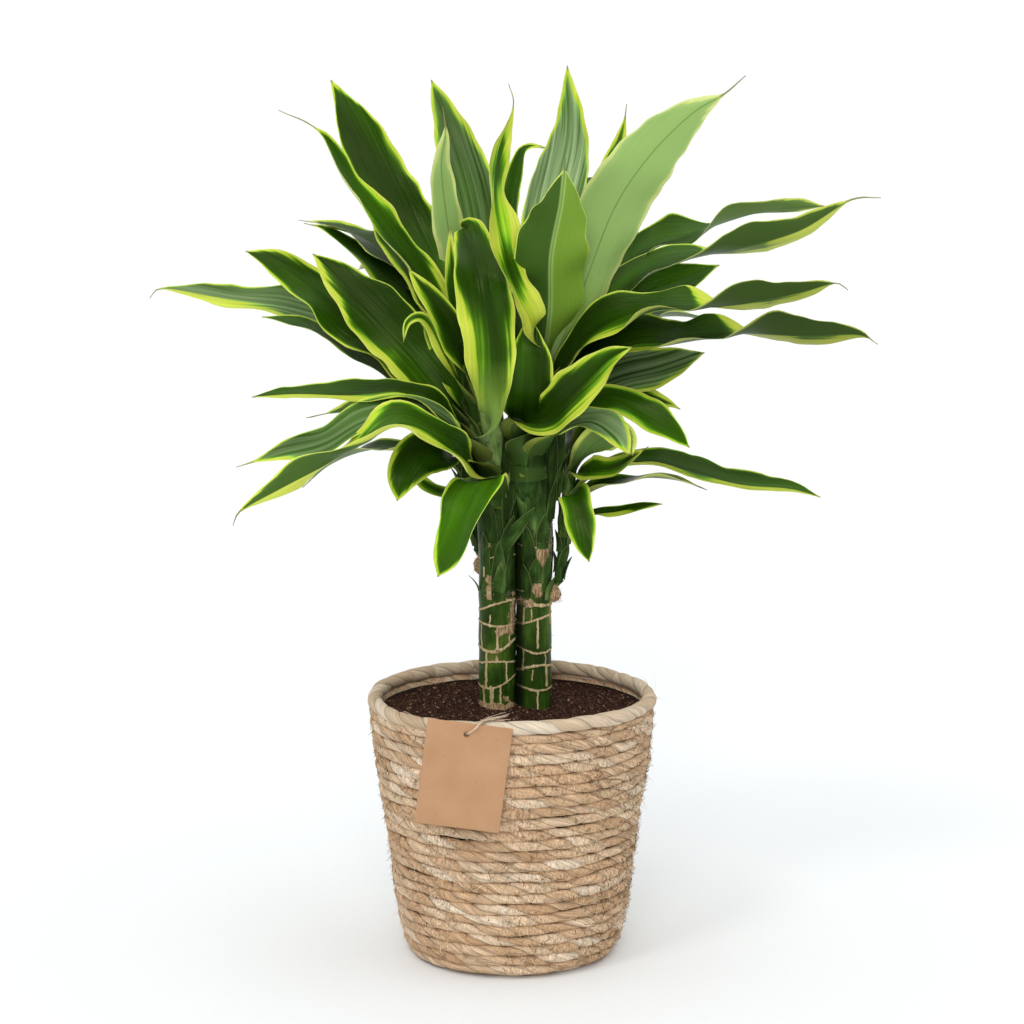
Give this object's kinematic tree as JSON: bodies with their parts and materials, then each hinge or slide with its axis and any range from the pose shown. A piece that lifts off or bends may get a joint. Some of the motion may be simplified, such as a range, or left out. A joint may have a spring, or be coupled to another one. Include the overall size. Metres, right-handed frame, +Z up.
{
  "type": "potted corn plant",
  "caption": "Potted corn plant: woody canes with arching, yellow-edged leaf crowns and side shoots, set in soil in a lined seagrass basket with a blank hang tag.",
  "frame": {"origin": "middle of the basket's flat underside", "axes": "+Z up, the plant's front with the tag faces -Y, +X is to the right when seen from the front"},
  "size_m": [0.5308, 0.3138, 0.6444],
  "materials": {
    "seagrass": "coiled seagrass cord, dry and fibrous",
    "seagrass_wrap": "flat seagrass strips wound round the rim",
    "liner_film": "thin dark plastic liner",
    "potting_soil": "damp peat potting soil with bark crumbs",
    "cane_skin": "green woody cane ringed by tan leaf scars",
    "leaf": "waxy green leaf with yellow-green margins",
    "kraft_card": "plain unprinted kraft card",
    "raffia_twine": "dry raffia twine"
  },
  "bodies": {
    "root": {"basket": "seagrass", "rim_wrap": "seagrass_wrap", "liner": "liner_film", "soil": "potting_soil", "cane_left": "cane_skin", "cane_right": "cane_skin", "crown_left": "leaf", "crown_right": "leaf", "side_shoot": "leaf", "back_shoot": "leaf", "tag": "kraft_card", "twine": "raffia_twine"}
  },
  "joints": []
}
